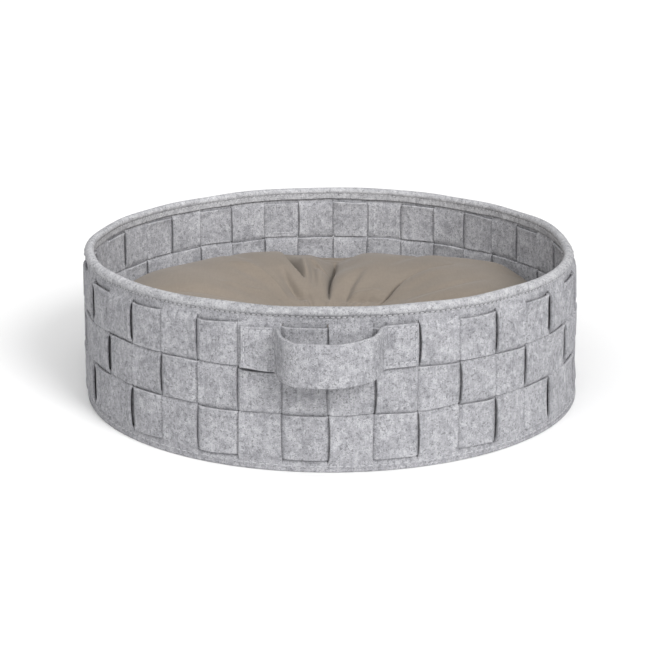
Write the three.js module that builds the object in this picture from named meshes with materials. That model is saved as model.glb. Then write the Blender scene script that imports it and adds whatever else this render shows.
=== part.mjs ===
// Round pet bed: a basket woven of wide felt strips, with a round cushion in it.
// Millimetres, +Z up. The origin is at the middle of the underside, and the front faces -Y.
// An angle is measured at the basket's axis, from the front towards +X.
import * as THREE from 'three';

// Felt
const FELT = 3; // thickness of every felt piece
const CLEARANCE = 0.3; // between pieces that lie on each other
const WEAVE = (FELT + CLEARANCE) / 2; // from the middle of the wall to the middle of a layer
const PILLOW = 0.4; // further swell in the middle of each woven square

// Wall
const STRIPS = 38; // upright strips between the slits
const PITCH = (2 * Math.PI) / STRIPS;
const SLIT_WIDTH = 2.4; // a slit, pushed open by the bands
const SLIT_BOTTOM = 9; // the sheet is whole below this height
const SLIT_TOP = 138.5; // and above this one
const WALL_TOP = 151.6;
const CROSSING_MARGIN = 0.3; // a layer changes side this far inside the gap that it passes through
const ROWS = [
  { name: 'bottom', low: 10.5, high: 54 },
  { name: 'middle', low: 54, high: 95.5 },
  { name: 'top', low: 95.5, high: 136 },
];

// Radius of the wall's middle by height. The flare is what the right side adds to it.
const WALL_SHAPE = [
  { height: 0, radius: 251.2, flare: 3.6 },
  { height: 9, radius: 250.0, flare: 2.8 },
  { height: 32, radius: 249.6, flare: 0.4 },
  { height: 75, radius: 248.6, flare: 1.0 },
  { height: 115, radius: 247.7, flare: 0.2 },
  { height: 135, radius: 247.2, flare: 0 },
  { height: 155, radius: 245.4, flare: 0 },
];

// Rim binding: a strip folded over the wall's top edge
const RIM = {
  top: 155,
  outerLow: 145.5,
  innerLow: 142,
  slotTop: 152,
  halfWidth: FELT * 1.5 + CLEARANCE,
  slotHalfWidth: FELT / 2 + CLEARANCE * 1.2,
  crownSteps: 6,
};

// Base disc
const BASE_EDGE = 0.5; // rounding of its edge
const BASE_OVERHANG = 1.4; // from the middle of the wall to the edge of the disc

// Handles: a strap in plan, from its left end to its right end
const STRAP = {
  width: 39.3,
  leftLow: 94.8, // the left end is sewn on a little lower than the right one
  rightLow: 97.8,
  sag: 2.8, // how far the middle of the loop hangs below its ends
  reach: 38, // how far it stands out of the wall there
};
const STRAP_PATH = [
  // along the wall in strips from the middle, and out from the wall
  { along: -1.92, out: 0 },
  { along: -1.74, out: 0 },
  { along: -1.56, out: 0 },
  { along: -1.38, out: 0 },
  { along: -1.25, out: 0.3 },
  { along: -1.16, out: 1.4 },
  { along: -1.09, out: 5 },
  { along: -1.04, out: 11 },
  { along: -0.98, out: 18 },
  { along: -0.88, out: 25.5 },
  { along: -0.74, out: 31.5 },
  { along: -0.58, out: 35 },
  { along: -0.34, out: 37.2 },
  { along: 0, out: 38 },
  { along: 0.25, out: 37 },
  { along: 0.48, out: 34.3 },
  { along: 0.7, out: 29.3 },
  { along: 0.85, out: 23.5 },
  { along: 0.95, out: 17 },
  { along: 1.02, out: 10 },
  { along: 1.08, out: 4 },
  { along: 1.17, out: 0.8 },
  { along: 1.3, out: 0 },
  { along: 1.5, out: 0 },
  { along: 1.7, out: 0 },
  { along: 1.9, out: 0 },
];
const HANDLES = [
  // turned about the axis; the back one is sewn on a little to the right
  { name: 'handle_front', turn: 0 },
  { name: 'handle_back', turn: Math.PI - 0.02 },
];

// Cushion: half of its section, from the middle of its underside to its pulled-in centre
const CUSHION_LOW = FELT + CLEARANCE;
const CUSHION_SECTION = [
  { radius: 0, height: 0 },
  { radius: 110, height: 0 },
  { radius: 200, height: 0 },
  { radius: 222, height: 4 },
  { radius: 236, height: 16 },
  { radius: 241, height: 34 },
  { radius: 241, height: 52 },
  { radius: 236, height: 68 },
  { radius: 225, height: 79 },
  { radius: 208, height: 86 },
  { radius: 186, height: 91.5 },
  { radius: 162, height: 94 },
  { radius: 136, height: 93 },
  { radius: 109, height: 87.5 },
  { radius: 82, height: 79 },
  { radius: 56, height: 68.5 },
  { radius: 32, height: 58 },
  { radius: 12, height: 51 },
  { radius: 0, height: 50 },
];
const CUSHION_STEPS = 96;
const SIDE_FULLNESS = 0.08; // how much higher the left and right sides stand than the front and back
const FULL_FROM = 160; // at this radius and beyond
const CUSHION_TOP_FROM = 60; // creases begin above this height
const CREASES = [
  // at an angle, how deep and how wide they are, and from where to where they run
  // the trough between the two lobes at the back, its valley and the pocket beside it
  { angle: 3.2, depth: 8, width: 0.2, from: 60, to: 260 },
  { angle: 3.09, depth: 8, width: 0.1, from: 20, to: 240 },
  { angle: 3.4, depth: 9, width: 0.07, from: 80, to: 235 },
  // beside the left lobe, and right of the middle
  { angle: 3.74, depth: 3, width: 0.09, from: 110, to: 240 },
  { angle: 2.8, depth: 4, width: 0.25, from: 90, to: 250 },
  { angle: 2.28, depth: 5, width: 0.07, from: 45, to: 190 },
  // the right shoulder is fuller, so this one stands up
  { angle: 2.12, depth: -7, width: 0.3, from: 165, to: 255 },
  // front
  { angle: 4.8, depth: 5, width: 0.09, from: 55, to: 210 },
  { angle: 5.43, depth: 5, width: 0.09, from: 45, to: 195 },
  { angle: 5.95, depth: 6, width: 0.09, from: 45, to: 220 },
  { angle: 0.22, depth: 4, width: 0.09, from: 40, to: 185 },
  { angle: 0.72, depth: 6, width: 0.09, from: 50, to: 215 },
  { angle: 1.33, depth: 5, width: 0.09, from: 45, to: 205 },
  { angle: 1.73, depth: 3.5, width: 0.09, from: 50, to: 185 },
];

// Colours
const feltGrey = { color: 0xb3b3b8, roughness: 0.95, metalness: 0 };
const feltPale = { color: 0xbdbdc0, roughness: 0.95, metalness: 0 };
const clothTaupe = { color: 0x958a7f, roughness: 0.85, metalness: 0 };

// Value at a height in a table of named columns, straight between its rows.
function fromTable(table, height, column) {
  const above = table.findIndex((row) => row.height >= height);
  if (above <= 0) return table[above < 0 ? table.length - 1 : 0][column];
  const low = table[above - 1];
  const high = table[above];
  const share = (height - low.height) / (high.height - low.height);
  return low[column] + share * (high[column] - low[column]);
}

// Radius of the middle of the wall's weave. Only its right side flares.
function wallRadius(angle, height) {
  const side = Math.max(0, Math.sin(angle)) ** 2;
  return fromTable(WALL_SHAPE, height, 'radius') + side * fromTable(WALL_SHAPE, height, 'flare');
}

// A point at an offset from the middle of the weave.
function onWall(angle, offset, height) {
  const radius = wallRadius(angle, height) + offset;
  return new THREE.Vector3(radius * Math.sin(angle), -radius * Math.cos(angle), height);
}

// 1 where the upright strip lies outside the band, and -1 where it lies inside it.
function stripSide(strip, row) {
  return (strip + row) % 2 === 0 ? 1 : -1;
}

// Three columns of points for each strip: its left edge, its middle and its right edge.
function stripColumns(margin) {
  const edge = margin / WALL_SHAPE[0].radius;
  const columns = [];
  for (let strip = 0; strip < STRIPS; strip += 1) {
    columns.push({ strip, angle: strip * PITCH + edge, swell: 0 });
    columns.push({ strip, angle: (strip + 0.5) * PITCH, swell: PILLOW });
    columns.push({ strip, angle: (strip + 1) * PITCH - edge, swell: 0 });
  }
  return columns;
}

// Closed ring of felt on a grid of columns and levels. Cells that are open become holes through it.
function feltRing(columns, levels, offsetAt, isOpen) {
  const positions = [];
  for (const column of columns) {
    for (const level of levels) {
      for (const face of [-1, 1]) {
        const offset = offsetAt(column, level) + (face * FELT) / 2;
        positions.push(...onWall(column.angle, offset, level.height).toArray());
      }
    }
  }
  const point = (column, level, face) => {
    const turned = (column + columns.length) % columns.length;
    return (turned * levels.length + level) * 2 + face;
  };
  const isFilled = (column, level) => {
    const turned = (column + columns.length) % columns.length;
    return level >= 0 && level < levels.length - 1 && !isOpen(columns[turned], turned, levels[level]);
  };
  const triangles = [];
  const quad = (a, b, c, d) => triangles.push(a, b, c, a, c, d);
  for (let c = 0; c < columns.length; c += 1) {
    for (let l = 0; l < levels.length - 1; l += 1) {
      if (!isFilled(c, l)) continue;
      quad(point(c, l, 1), point(c + 1, l, 1), point(c + 1, l + 1, 1), point(c, l + 1, 1));
      quad(point(c, l, 0), point(c, l + 1, 0), point(c + 1, l + 1, 0), point(c + 1, l, 0));
      if (!isFilled(c - 1, l)) quad(point(c, l, 0), point(c, l, 1), point(c, l + 1, 1), point(c, l + 1, 0));
      if (!isFilled(c + 1, l)) {
        quad(point(c + 1, l, 0), point(c + 1, l + 1, 0), point(c + 1, l + 1, 1), point(c + 1, l, 1));
      }
      if (!isFilled(c, l - 1)) quad(point(c, l, 0), point(c + 1, l, 0), point(c + 1, l, 1), point(c, l, 1));
      if (!isFilled(c, l + 1)) {
        quad(point(c, l + 1, 0), point(c, l + 1, 1), point(c + 1, l + 1, 1), point(c + 1, l + 1, 0));
      }
    }
  }
  const geometry = new THREE.BufferGeometry();
  geometry.setAttribute('position', new THREE.Float32BufferAttribute(positions, 3));
  geometry.setIndex(triangles);
  geometry.computeVertexNormals();
  return geometry;
}

// The wall's sheet: strips between slits, which change side between one band and the next.
function wallSheet() {
  const inGap = SLIT_WIDTH / 2 - CROSSING_MARGIN;
  const levels = [{ height: FELT + CLEARANCE, side: () => 0 }];
  levels.push({ height: SLIT_BOTTOM, side: () => 0, slit: true });
  ROWS.forEach((band, row) => {
    const isFirst = row === 0;
    const isLast = row === ROWS.length - 1;
    const side = (strip) => stripSide(strip, row);
    levels.push({ height: isFirst ? band.low + CROSSING_MARGIN : band.low + inGap, side, slit: true });
    levels.push({ height: isLast ? band.high - CROSSING_MARGIN : band.high - inGap, side, slit: true });
  });
  levels.push({ height: SLIT_TOP, side: () => 0 });
  levels.push({ height: WALL_TOP, side: () => 0 });
  const offsetAt = (column, level) => level.side(column.strip) * (WEAVE + column.swell);
  const isSlit = (column, index, level) => index % 3 === 2 && level.slit === true;
  return feltRing(stripColumns(SLIT_WIDTH / 2), levels, offsetAt, isSlit);
}

// A band, woven through the slits on the other side of each strip.
function wovenBand(row) {
  const levels = [
    { height: ROWS[row].low + SLIT_WIDTH / 2 },
    { height: ROWS[row].high - SLIT_WIDTH / 2 },
  ];
  const offsetAt = (column) => -stripSide(column.strip, row) * (WEAVE + column.swell);
  const columns = stripColumns(SLIT_WIDTH / 2 - CROSSING_MARGIN);
  return feltRing(columns, levels, offsetAt, () => false);
}

// Turns a profile of radius and height about the axis, then moves each point by a rule.
function turned(profile, steps, place) {
  const points = profile.map(({ radius, height }) => new THREE.Vector2(radius, height));
  const geometry = new THREE.LatheGeometry(points, steps);
  const position = geometry.attributes.position;
  for (let i = 0; i < position.count; i += 1) {
    const column = Math.floor(i / points.length) % steps;
    const moved = place((column / steps) * 2 * Math.PI, points[i % points.length].x, position.getY(i));
    position.setXYZ(i, moved.x, moved.y, moved.z);
  }
  geometry.computeVertexNormals();
  return geometry;
}

// The binding's section, its radius counted from the middle of the wall.
function rimBinding() {
  const section = [
    { radius: RIM.slotHalfWidth, height: RIM.outerLow },
    { radius: RIM.halfWidth, height: RIM.outerLow },
  ];
  const crownHeight = RIM.top - RIM.halfWidth;
  for (let step = 0; step <= RIM.crownSteps; step += 1) {
    const turn = (Math.PI * step) / RIM.crownSteps;
    section.push({
      radius: RIM.halfWidth * Math.cos(turn),
      height: crownHeight + RIM.halfWidth * Math.sin(turn),
    });
  }
  section.push({ radius: -RIM.halfWidth, height: RIM.innerLow });
  section.push({ radius: -RIM.slotHalfWidth, height: RIM.innerLow });
  section.push({ radius: -RIM.slotHalfWidth, height: RIM.slotTop });
  section.push({ radius: RIM.slotHalfWidth, height: RIM.slotTop });
  section.push(section[0]);
  return turned(section, STRIPS * 2, onWall);
}

function baseDisc() {
  const rim = fromTable(WALL_SHAPE, 0, 'radius') + BASE_OVERHANG;
  const profile = [
    { radius: 0, height: 0 },
    { radius: rim - BASE_EDGE, height: 0 },
    { radius: rim, height: BASE_EDGE },
    { radius: rim, height: FELT - BASE_EDGE },
    { radius: rim - BASE_EDGE, height: FELT },
    { radius: 0, height: FELT },
  ];
  const place = (angle, radius, height) => {
    const flared = (radius * wallRadius(angle, 0)) / wallRadius(0, 0);
    return new THREE.Vector3(flared * Math.sin(angle), -flared * Math.cos(angle), height);
  };
  return turned(profile, STRIPS * 2, place);
}

// A strap in plan is a ribbon along its path, stood on edge, with its loop sagging a little.
function strap(turn) {
  const face = WEAVE + PILLOW + FELT / 2;
  const middle = STRAP.leftLow + STRAP.width / 2;
  const path = STRAP_PATH.map(({ along, out }) => {
    const point = onWall(along * PITCH, face + CLEARANCE + FELT / 2 + out, middle);
    return new THREE.Vector2(point.x, point.y);
  });
  const edge = (side) => path.map((point, i) => {
    const before = path[Math.max(i - 1, 0)];
    const after = path[Math.min(i + 1, path.length - 1)];
    const across = after.clone().sub(before).normalize().rotateAround(new THREE.Vector2(), Math.PI / 2);
    return point.clone().addScaledVector(across, (side * FELT) / 2);
  });
  const outline = new THREE.Shape([...edge(-1), ...edge(1).reverse()]);
  const geometry = new THREE.ExtrudeGeometry(outline, { depth: STRAP.width, bevelEnabled: false });
  const start = STRAP_PATH[0].along * PITCH;
  const end = STRAP_PATH[STRAP_PATH.length - 1].along * PITCH;
  const position = geometry.attributes.position;
  for (let i = 0; i < position.count; i += 1) {
    const angle = Math.atan2(position.getX(i), -position.getY(i));
    const out = Math.hypot(position.getX(i), position.getY(i)) - wallRadius(angle, middle) - face;
    const low = STRAP.leftLow + ((STRAP.rightLow - STRAP.leftLow) * (angle - start)) / (end - start);
    const sag = STRAP.sag * Math.max(0, out / STRAP.reach) ** 2;
    const height = low + position.getZ(i);
    const moved = onWall(angle, face + out, height);
    position.setXYZ(i, moved.x, moved.y, height - sag);
  }
  geometry.rotateZ(turn);
  geometry.computeVertexNormals();
  return geometry;
}

// How far the cushion's creases draw its top down at a place.
function creaseDepth(angle, radius) {
  let depth = 0;
  for (const crease of CREASES) {
    const apart = Math.atan2(Math.sin(angle - crease.angle), Math.cos(angle - crease.angle));
    const middle = (crease.from + crease.to) / 2;
    const share = (radius - middle) / ((crease.to - crease.from) / 2);
    const along = Math.max(0, 1 - share ** 2);
    depth += crease.depth * along * Math.exp(-((apart / crease.width) ** 2));
  }
  return depth;
}

function cushion() {
  const place = (angle, radius, height) => {
    const drawn = height > CUSHION_TOP_FROM ? creaseDepth(angle, radius) : 0;
    const fullness = SIDE_FULLNESS * Math.sin(angle) ** 2 * Math.min(1, radius / FULL_FROM);
    const top = CUSHION_LOW + height * (1 + fullness) - drawn;
    return new THREE.Vector3(radius * Math.sin(angle), -radius * Math.cos(angle), top);
  };
  return turned(CUSHION_SECTION, CUSHION_STEPS, place);
}

function piece(name, geometry, finish) {
  const mesh = new THREE.Mesh(geometry, new THREE.MeshStandardMaterial(finish));
  mesh.name = name;
  return mesh;
}

const bed = new THREE.Group();
bed.add(piece('base_disc', baseDisc(), feltGrey));
bed.add(piece('wall_sheet', wallSheet(), feltGrey));
ROWS.forEach((band, row) => bed.add(piece(`band_${band.name}`, wovenBand(row), feltGrey)));
bed.add(piece('rim_binding', rimBinding(), feltPale));
HANDLES.forEach(({ name, turn }) => bed.add(piece(name, strap(turn), feltGrey)));
bed.add(piece('cushion', cushion(), clothTaupe));

export default bed;
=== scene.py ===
# Round pet bed: a basket woven of wide felt strips, with strap handles and a plump cushion in it.
# Sizes are in millimetres, and meshes are made in metres. Angles are measured at the basket's axis,
# from the front towards +X.
import math
from collections import namedtuple

import bpy
import numpy as np
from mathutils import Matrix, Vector


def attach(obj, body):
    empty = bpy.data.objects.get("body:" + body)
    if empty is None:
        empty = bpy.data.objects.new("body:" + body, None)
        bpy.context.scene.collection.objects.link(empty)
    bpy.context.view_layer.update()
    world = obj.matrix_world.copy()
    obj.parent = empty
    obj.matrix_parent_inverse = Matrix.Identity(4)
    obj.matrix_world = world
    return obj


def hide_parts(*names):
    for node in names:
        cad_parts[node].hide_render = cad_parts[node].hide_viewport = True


MM = 0.001

# Felt
FELT = 3.0
CLEARANCE = 0.3
WEAVE = (FELT + CLEARANCE) / 2  # from the middle of the wall to the middle of a layer
PILLOW = 0.4  # how far the woven squares swell out under a handle
EDGE_ROUNDING = 0.8  # a cut edge is thinner than the sheet over this width
EDGE_THICKNESS = 0.8  # share of the thickness that is left at the edge itself
EDGE_STEPS = [0, 0.35, 0.9, 2.4, 4.6, 8.0, 13.0]  # where points lie, from a strip's cut edge
BAND_FROM_SLIT = [0, 0.8, 1.7, 2.7, 3.8, 5.2, 7.6, 11.5, 16.0]  # and from a slit
FELTS = {
    # screen colours of pale and dark fibres, shift of the mottling, and painted light on cut edges: a
    # painted highlight above 0, painted shade below 0
    "wall_felt": ((177, 177, 180), (128, 128, 132), 0, -0.35),
    "band_felt": ((177, 177, 180), (128, 128, 132), 3, 0.12),
    "binding_felt": ((181, 181, 183), (139, 139, 142), 7, 0.1),
}

# Wall, with the rows counted from the bottom
STRIPS = 38
PITCH = 2 * math.pi / STRIPS
MEAN_RADIUS = 249.0
STRIP = PITCH * MEAN_RADIUS
HALF_STRIP = STRIP / 2
WALL_BOTTOM = FELT + 0.02
WALL_TOP = 149.6  # a little lower than in the solids, as the rim has settled
SLIT_BOTTOM = 9.0
SLIT_TOP = 138.5
ROW_EDGES = [10.5, 54.0, 95.5, 136.0]
ROW_NAMES = ["bottom", "middle", "top"]
ROW_STEPS = [0.4, 1.7, 3.1, 4.8, 7.5, 11.5]  # where the wall's points lie, from a row's edge
BAND_GAP = 1.0  # from the edge of a row to the edge of its band
BAND_DIP = 2.2  # how much lower the middle band's edge is under the left end of the front handle
DIP_MIDDLE = -1.5 * PITCH
DIP_WIDTH = 0.55 * PITCH
WALL_HEIGHTS = [0, 9, 32, 75, 115, 133, 145, 155]
WALL_RADII = [251.2, 250.0, 249.6, 248.6, 247.7, 247.2, 246.3, 245.4]

# How the wall's radius differs on one side: the side, how narrow that place is, and the change by height.
# The foot stands out on the right, and the rim is drawn in at both ends.
WALL_CHANGES = [
    (1, 2, [3.6, 2.8, 0.4, 1.0, 0.2, 0, 0, 0]),
    (1, 24, [0, 0, 0, 0, 0, -0.4, -4.4, -5.4]),
    (-1, 2, [0, 0, 0, 0, 0, 0, -0.9, -2.0]),
]

# Unevenness of the weave
CROSSING = 4.4  # a layer changes side over this distance before and after a crossing
LIFT_REACH = 4.2  # a lifted edge comes back over this distance
BULGE_POWER = 0.8  # below 1, a bulge across a square has a broad top
SLIT_SHUT = 0.12  # half the width of a slit at its ends
SLIT_REST = 0.3  # added to that between them
SLIT_ENDS = (14.0, 133.0)  # a slit is drawn shut below and above these heights
SLIT_DRIFT = 0.35  # how far slits, rows, the bands' edges and the wall waver
SLIT_WAVE = 24  # height over which a slit's wave turns by a radian
SLIT_SHIFT = 0.0108  # half of the most that the weave has crept round, in radians
SLIT_SHIFT_TURN = 0.3  # where that is, past the right end; opposite it is none
ROW_DRIFT = 0.5
BAND_DRIFT = 0.35
BACK_RISE = 2.2  # how much higher the top row reaches at the back
WALL_DRIFT = 0.35
DRIFT_HEIGHTS = (3, 40)  # the wall's drift grows between these heights
BORDER_BULGE = 0.45  # how far the wall swells between the slits and its sewn edges
OPENING_RANGE = (0.1, 1.2)  # half the opening of a slit that isn't listed below
LIFT_RANGE = (0.8, 1.8)  # lift of its edges
BAND_LIFT_RANGE = (0.5, 1.5)
SWELL_RANGE = (0.15, 0.95)  # how far squares swell out

# How the slits in front stand open, by row and from left to right: half the opening in the row's middle,
# and how far the edge over it lifts. The middle slit has number 0.
FIRST_OPEN_SLIT = -7
OPEN_SLITS = [
    [
        (2.4, 2.7), (0.5, 1.4), (2.5, 2.7), (0.3, 0.9), (0.9, 1.4), (0.5, 1.6), (0.3, 0.9), (1.3, 1.9),
        (0.4, 0.9), (1.2, 1.8), (0.2, 0.8), (1.8, 2.0), (0.2, 0.7), (1.6, 1.9), (0.2, 0.8),
    ],
    [
        (0.3, 1.0), (2.6, 2.8), (0.5, 1.2), (1.4, 1.8), (0.5, 1.2), (0.8, 1.4), (0.8, 1.3), (0.7, 1.4),
        (1.7, 2.0), (0.2, 0.8), (1.5, 1.8), (0.3, 1.0), (1.0, 1.5), (0.2, 0.8), (1.2, 1.8),
    ],
    [
        (2.3, 2.6), (0.4, 1.2), (2.2, 2.4), (0.3, 1.0), (0.6, 1.4), (0.3, 1.2), (0.4, 1.0), (1.1, 1.6),
        (0.4, 0.4), (1.8, 1.6), (0.3, 1.1), (1.9, 2.1), (0.2, 0.8), (1.8, 2.0), (0.3, 0.9),
    ],
]
PRESSED_ROW = 2
PRESSED_STRIPS = [-2, 1, 17, 20]  # held flat there by the sewn ends of the handles
PRESSED_LIFT = 0.15  # share of the lift that they keep
PRESSED_SWELL = 0.15

# Rim binding, with its outer and inner face as offset by height, drawn in by the seam
RIM_TOP = 155.0
RIM_OUTER_LOW = 145.5
RIM_INNER_LOW = 142.0
RIM_SLOT_TOP = 152.0
RIM_HALF = FELT * 1.5 + CLEARANCE
RIM_SETTLED = 1.8  # how far it has sunk at the front and the sides
SETTLED_FROM = (0.25, 0.65)  # angles from the back between which that begins
RIM_SLOT_HALF = FELT / 2 + CLEARANCE * 1.2
BINDING_LIP = 0.5  # radius of its edges
CROWN_WAVE = 0.35
CROWN_HEIGHTS = (148, 154)  # the crown's wavering grows between these heights
LIP_WAVE = 0.3
PUCKERS = 0.28
FINE_PUCKERS = 0.18
OUTER_HEIGHTS = [146.1, 147.0, 147.8, 148.8, 150.2]
OUTER_OFFSETS = [2.5, 2.9, 3.6, 4.4, 4.8]
INNER_HEIGHTS = [142.9, 144.2, 145.6, 147.0, 148.2, 149.2, 150.2]
INNER_OFFSETS = [4.4, 4.35, 4.25, 4.15, 4.2, 4.5, 4.8]

# Stitches
STITCH_PITCH = 5.0
STITCH_LENGTH = 3.9
THREAD = 0.27  # radius
THREAD_REST = 0.1  # how far off the felt's face a thread's path lies
THREAD_ARCH = [(0, -0.4), (0.15, 0.06), (0.5, 0.2), (0.85, 0.06), (1, -0.4)]  # share along, and height
THREAD_SIDES = 6
THREAD_COLOURS = [(158, 158, 162), (198, 198, 201)]
SEAM_HEIGHTS = {1: 146.5, -1: 147.5}  # on the outside and on the inside
INNER_SOFTNESS = 0.3  # the seam bites less on the inside
SEAM_STITCHES = 310
SEAM_PITCH = 2 * math.pi / SEAM_STITCHES
BINDING_STEPS = SEAM_STITCHES * 4
FOOT_HEIGHT = 5.6
FOOT_STITCHES = 240
GROOVE_DEPTH = 0.5
GROOVE_WIDTH = 1.2
HOLE_SHADE_REACH = 0.7  # how far the painted shade round a needle hole reaches

# Base disc
BASE_OVERHANG = 1.4
BASE_EDGE = 0.4
BASE_STEPS = 8 * STRIPS

# Handles
STRAP_FACE = WEAVE + PILLOW + FELT + CLEARANCE  # from the middle of the weave to the middle of a strap
STRAP_STEPS = 240
STRAP_FROM_EDGE = [0, 0.35, 0.9, 1.8, 2.7, 3.6, 4.5, 5.6, 8.0, 13.0]
STRAP_WIDTH = 39.3
STRAP_LEFT_LOW = 94.8  # height of its lower edge at its left end
STRAP_RIGHT_LOW = 97.8
STRAP_SAG = 2.8
STRAP_REACH = 38.0
STRAP_WAVE = 0.3
STRAP_LOOSE = 3.0  # how far the lower edge of its left end stands off the wall
LOOSE_FROM = (0.8, 1.2)  # in strips to the left, between which that begins
STRAP_CURL = 2.0  # how far that corner has turned up
CURL_FROM = (1.3, 1.85)
CURL_REACH = 3.5  # how far up from the edge

# How far out a strap stands from its sewn ends, along it in strips from its middle
STRAP_ALONG = [
    -1.92, -1.74, -1.56, -1.38, -1.25, -1.16, -1.09, -1.04, -0.98, -0.88, -0.74, -0.58, -0.34, 0,
    0.25, 0.48, 0.7, 0.85, 0.95, 1.02, 1.08, 1.17, 1.3, 1.5, 1.7, 1.9,
]
STRAP_OUT = [
    0, 0, 0, 0, 0, 0.7, 4.4, 11, 18, 25.5, 31.5, 35, 37.2, 38,
    37, 34.3, 29.3, 23.5, 17, 10, 4, 0.8, 0, 0, 0, 0,
]
HANDLES = {"handle_front": 0.0, "handle_back": math.pi - 0.02}

# Box of stitches on each end of a strap, in strips from its middle and above its lower edge
BOX_FROM = 1.19
BOX_TO = 1.85
BOX_BOTTOM = 4.5
BOX_TOP = 36.7
BOX_GROOVE = 0.3
BOX_HOLE_SHADE = 0.6  # how dark the painted shade in the needle holes is
BOX_STITCHES = {"along": 5, "up": 6}

# Cushion
CUSHION_LOW = FELT + CLEARANCE
CUSHION_RADII = [0, 110, 200, 222, 236, 241, 241, 236, 225, 208, 186, 162, 136, 109, 82, 56, 32, 12, 0]
CUSHION_HEIGHTS = [0, 0, 0, 4, 16, 34, 52, 68, 79, 86, 91.5, 94, 93, 87.5, 79, 68.5, 58, 51, 50]
SIDE_FULLNESS = 0.08  # share by which its right and left are higher
FULL_FROM = 160.0  # radius from which they are
CUSHION_COLOURS = [(105, 97, 88), (119, 110, 100)]
CUSHION_STEPS = 480
CROWDING = 0.5  # how much closer together the steps lie at the back, where the camera looks
UNDER_STEPS = 26  # along the section of its underside and side
TOP_STEPS = 150
CUSHION_TOP_FROM = 6  # the point of the section at which the top begins
CREASED_FROM = 66.0  # creases fade in between this height and the next
CREASED_ABOVE = 80.0
MIDDLE_RADIUS = 100.0  # inside it they are full at any height
GATHERS = 1.3  # depth of the small gathers round the middle
GATHER_TURN = 0.004  # how far they turn with the radius, for each millimetre
UNEVENNESS = 1.1
UNEVEN_TURN = 0.003
FOLD_STEPS = 24  # points along each fold's path

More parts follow.
